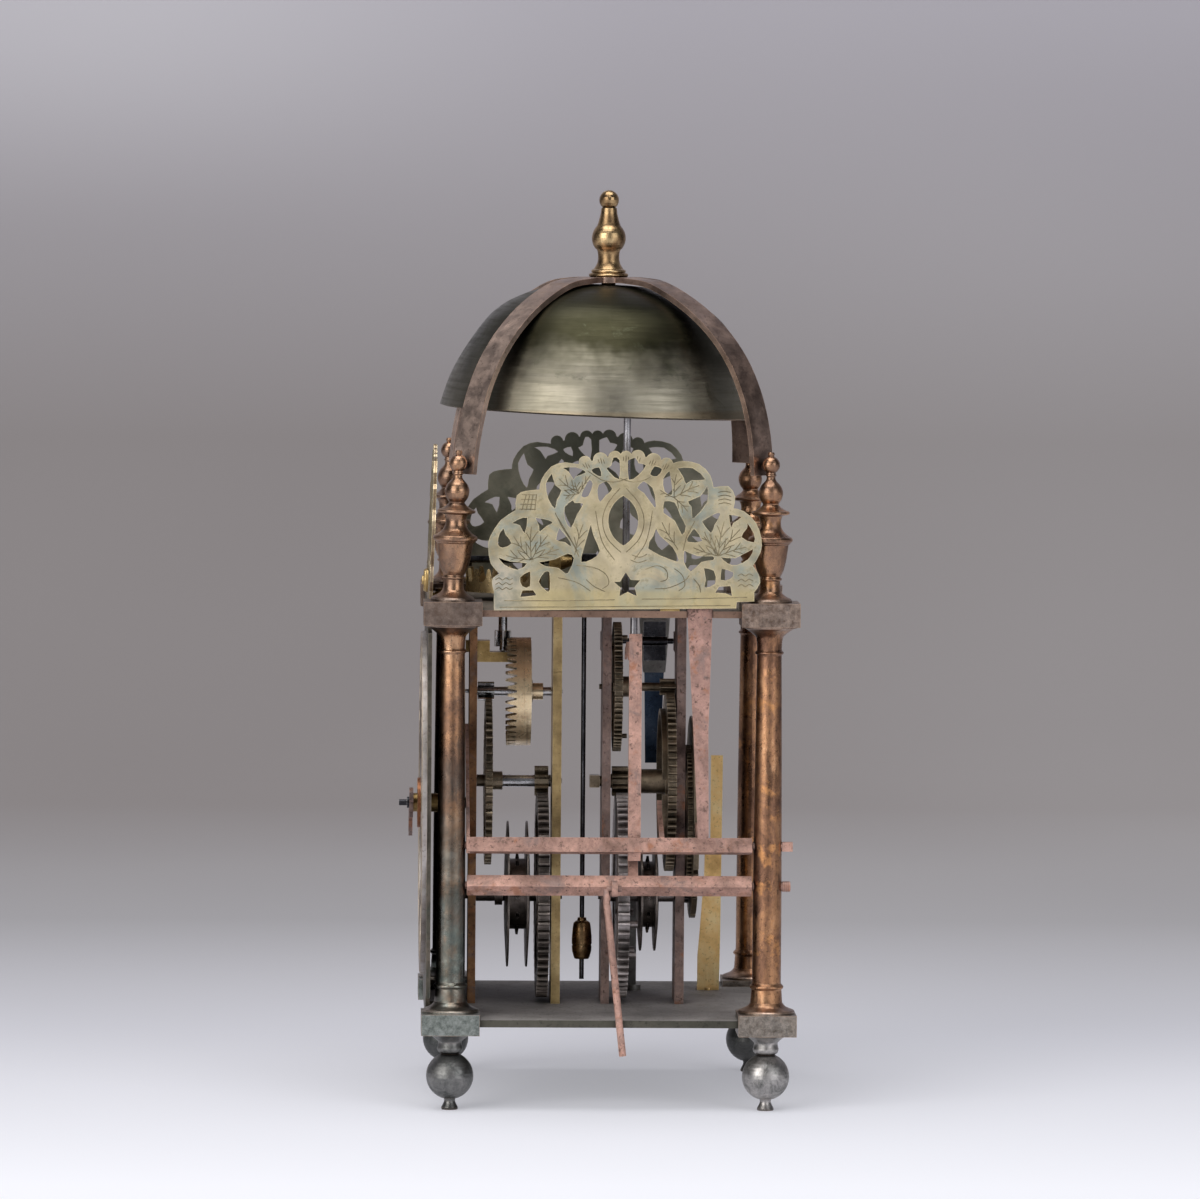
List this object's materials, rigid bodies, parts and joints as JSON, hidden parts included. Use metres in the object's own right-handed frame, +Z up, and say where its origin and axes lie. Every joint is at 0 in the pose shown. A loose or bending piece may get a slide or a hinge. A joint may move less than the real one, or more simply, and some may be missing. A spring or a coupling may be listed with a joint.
{
  "type": "lantern clock",
  "caption": "Weight-driven striking lantern clock with four turned pillars, pierced frets, a bell on crossed straps and an open movement between two plates.",
  "frame": {"origin": "on the floor, at the bottom centre of the whole clock's bounding box, hand and stud included; the centre of the four feet is 4.6 mm behind it", "axes": "+Z up; the dial faces -Y; +X is the clock's right-hand side as seen from its dial, the side with the two lever arbors"},
  "size_m": [0.16, 0.1656, 0.3832],
  "materials": {
    "aged_brass": "patinated",
    "strap_brass": "dark patina",
    "bell_bronze": "brushed, semi-polished",
    "bright_brass": "worn polish",
    "pale_brass": "dull, blue-grey patina",
    "silvered_brass": "worn silvering",
    "dark_iron": "oily, dirty",
    "rusty_iron": "rusted, pitted",
    "grey_iron": "filed",
    "dark_steel": "polished, dark",
    "blued_steel": "blued",
    "copper_red": "reddish patina"
  },
  "bodies": {
    "frame": {"bottom_plate": "dark_iron", "top_plate": "aged_brass", "front_left_pillar": "aged_brass", "front_right_pillar": "aged_brass", "rear_left_pillar": "aged_brass", "rear_right_pillar": "aged_brass", "front_left_foot": "aged_brass", "front_right_foot": "aged_brass", "rear_left_foot": "aged_brass", "rear_right_foot": "aged_brass", "front_left_urn": "aged_brass", "front_right_urn": "aged_brass", "rear_left_urn": "aged_brass", "rear_right_urn": "aged_brass", "bell_frame": "strap_brass", "bell": "bell_bronze", "bell_finial": "bright_brass", "bell_nut": "dark_iron", "front_fret": "pale_brass", "right_fret": "pale_brass", "left_fret": "pale_brass", "fret_fixings": "bright_brass", "dial_plate": "pale_brass", "chapter_ring": "silvered_brass", "hour_post": "dark_steel", "front_bar": "rusty_iron", "middle_bar": "bright_brass", "strike_front_bar": "rusty_iron", "strike_rear_bar": "rusty_iron", "escape_potence": "bright_brass", "verge_front_cock": "bright_brass", "verge_back_cock": "bright_brass", "blade_spring_block": "grey_iron", "blade_spring": "blued_steel", "lever_spring": "rusty_iron", "count_bracket": "pale_brass", "stop_post": "grey_iron", "pivot_screws": "rusty_iron"},
    "going_great": {"going_great_wheel": "dark_iron"},
    "going_pulley": {"going_pulley": "dark_iron"},
    "going_second": {"going_second_wheel": "dark_iron"},
    "contrate": {"contrate_wheel": "bright_brass"},
    "escape": {"crown_wheel": "bright_brass"},
    "verge_body": {"verge": "dark_steel", "pendulum_rod": "dark_steel"},
    "bob": {"pendulum_bob": "bright_brass"},
    "hour": {"hour_wheel": "bright_brass", "hour_hand": "rusty_iron"},
    "alarm": {"alarm_disc": "copper_red"},
    "strike_great": {"strike_great_wheel": "dark_iron"},
    "strike_pulley": {"strike_pulley": "dark_iron"},
    "locking": {"locking_wheel": "dark_iron"},
    "warning": {"warning_wheel": "dark_iron"},
    "fly_body": {"fly": "dark_steel"},
    "count": {"count_wheel": "aged_brass"},
    "detent": {"detent_arbor": "rusty_iron"},
    "hammer_body": {"hammer_arbor": "rusty_iron", "hammer": "dark_steel"},
    "pull": {"pull_rod": "rusty_iron"}
  },
  "joints": [
    {"name": "going_great_spin", "type": "hinge", "parent": "frame", "child": "going_great", "pos_m": [0, -0.0354, 0.0838], "axis": [0, 1, 0], "continuous": true},
    {"name": "going_pulley_spin", "type": "hinge", "parent": "going_great", "child": "going_pulley", "pos_m": [0, -0.0324, 0.0838], "axis": [0, 1, 0], "continuous": true},
    {"name": "going_second_spin", "type": "hinge", "parent": "frame", "child": "going_second", "pos_m": [0, -0.0354, 0.1321], "axis": [0, 1, 0], "continuous": true},
    {"name": "contrate_spin", "type": "hinge", "parent": "frame", "child": "contrate", "pos_m": [0, -0.0354, 0.1702], "axis": [0, 1, 0], "continuous": true},
    {"name": "escape_spin", "type": "hinge", "parent": "frame", "child": "escape", "pos_m": [0, -0.0391, 0.2], "axis": [0, 0, 1], "continuous": true},
    {"name": "verge_swing", "type": "hinge", "parent": "frame", "child": "verge_body", "pos_m": [0, -0.0354, 0.2263], "axis": [0, 1, 0], "range_deg": [-6, 6]},
    {"name": "bob_rating", "type": "slide", "parent": "verge_body", "child": "bob", "axis": [0, 0, 1], "range_m": [-0.002, 0.002]},
    {"name": "hour_spin", "type": "hinge", "parent": "frame", "child": "hour", "pos_m": [0, -0.0654, 0.1226], "axis": [0, 1, 0], "continuous": true},
    {"name": "alarm_setting", "type": "hinge", "parent": "hour", "child": "alarm", "pos_m": [0, -0.0743, 0.1226], "axis": [0, 1, 0], "continuous": true},
    {"name": "strike_great_spin", "type": "hinge", "parent": "frame", "child": "strike_great", "pos_m": [0, 0.0196, 0.0838], "axis": [0, 1, 0], "continuous": true},
    {"name": "strike_pulley_spin", "type": "hinge", "parent": "strike_great", "child": "strike_pulley", "pos_m": [0, 0.0232, 0.0838], "axis": [0, 1, 0], "continuous": true},
    {"name": "locking_spin", "type": "hinge", "parent": "frame", "child": "locking", "pos_m": [0, 0.0196, 0.1321], "axis": [0, 1, 0], "continuous": true},
    {"name": "warning_spin", "type": "hinge", "parent": "frame", "child": "warning", "pos_m": [0, 0.0196, 0.1724], "axis": [0, 1, 0], "continuous": true},
    {"name": "fly_spin", "type": "hinge", "parent": "frame", "child": "fly_body", "pos_m": [-0.02301, 0.0196, 0.19038], "axis": [0, 1, 0], "continuous": true},
    {"name": "count_wheel_spin", "type": "hinge", "parent": "frame", "child": "count", "pos_m": [0, 0.0406, 0.117], "axis": [0, 1, 0], "continuous": true},
    {"name": "detent_lift", "type": "hinge", "parent": "frame", "child": "detent", "pos_m": [0.066, 0.0046, 0.1106], "axis": [0, 1, 0], "range_deg": [0, 8], "stiffness_Nm_per_rad": 0.05, "springref_deg": -2.86},
    {"name": "hammer_swing", "type": "hinge", "parent": "frame", "child": "hammer_body", "pos_m": [0.066, 0.0046, 0.0939], "axis": [0, -1, 0], "range_deg": [0, 6], "stiffness_Nm_per_rad": 0.3, "springref_deg": -8.59},
    {"name": "pull_rod_swing", "type": "hinge", "parent": "hammer_body", "child": "pull", "pos_m": [0.0785, 0.0064, 0.0939], "axis": [0, 1, 0], "range_deg": [-8, 2]}
  ],
  "couplings": [
    {"joint": "going_second_spin", "follows": "going_great_spin", "ratio": -8},
    {"joint": "contrate_spin", "follows": "going_great_spin", "ratio": 80},
    {"joint": "escape_spin", "follows": "going_great_spin", "ratio": -586.67},
    {"joint": "hour_spin", "follows": "going_great_spin", "ratio": -0.16667},
    {"joint": "locking_spin", "follows": "strike_great_spin", "ratio": -8},
    {"joint": "warning_spin", "follows": "strike_great_spin", "ratio": 96},
    {"joint": "fly_spin", "follows": "strike_great_spin", "ratio": -1056},
    {"joint": "count_wheel_spin", "follows": "strike_great_spin", "ratio": -0.10256}
  ]
}
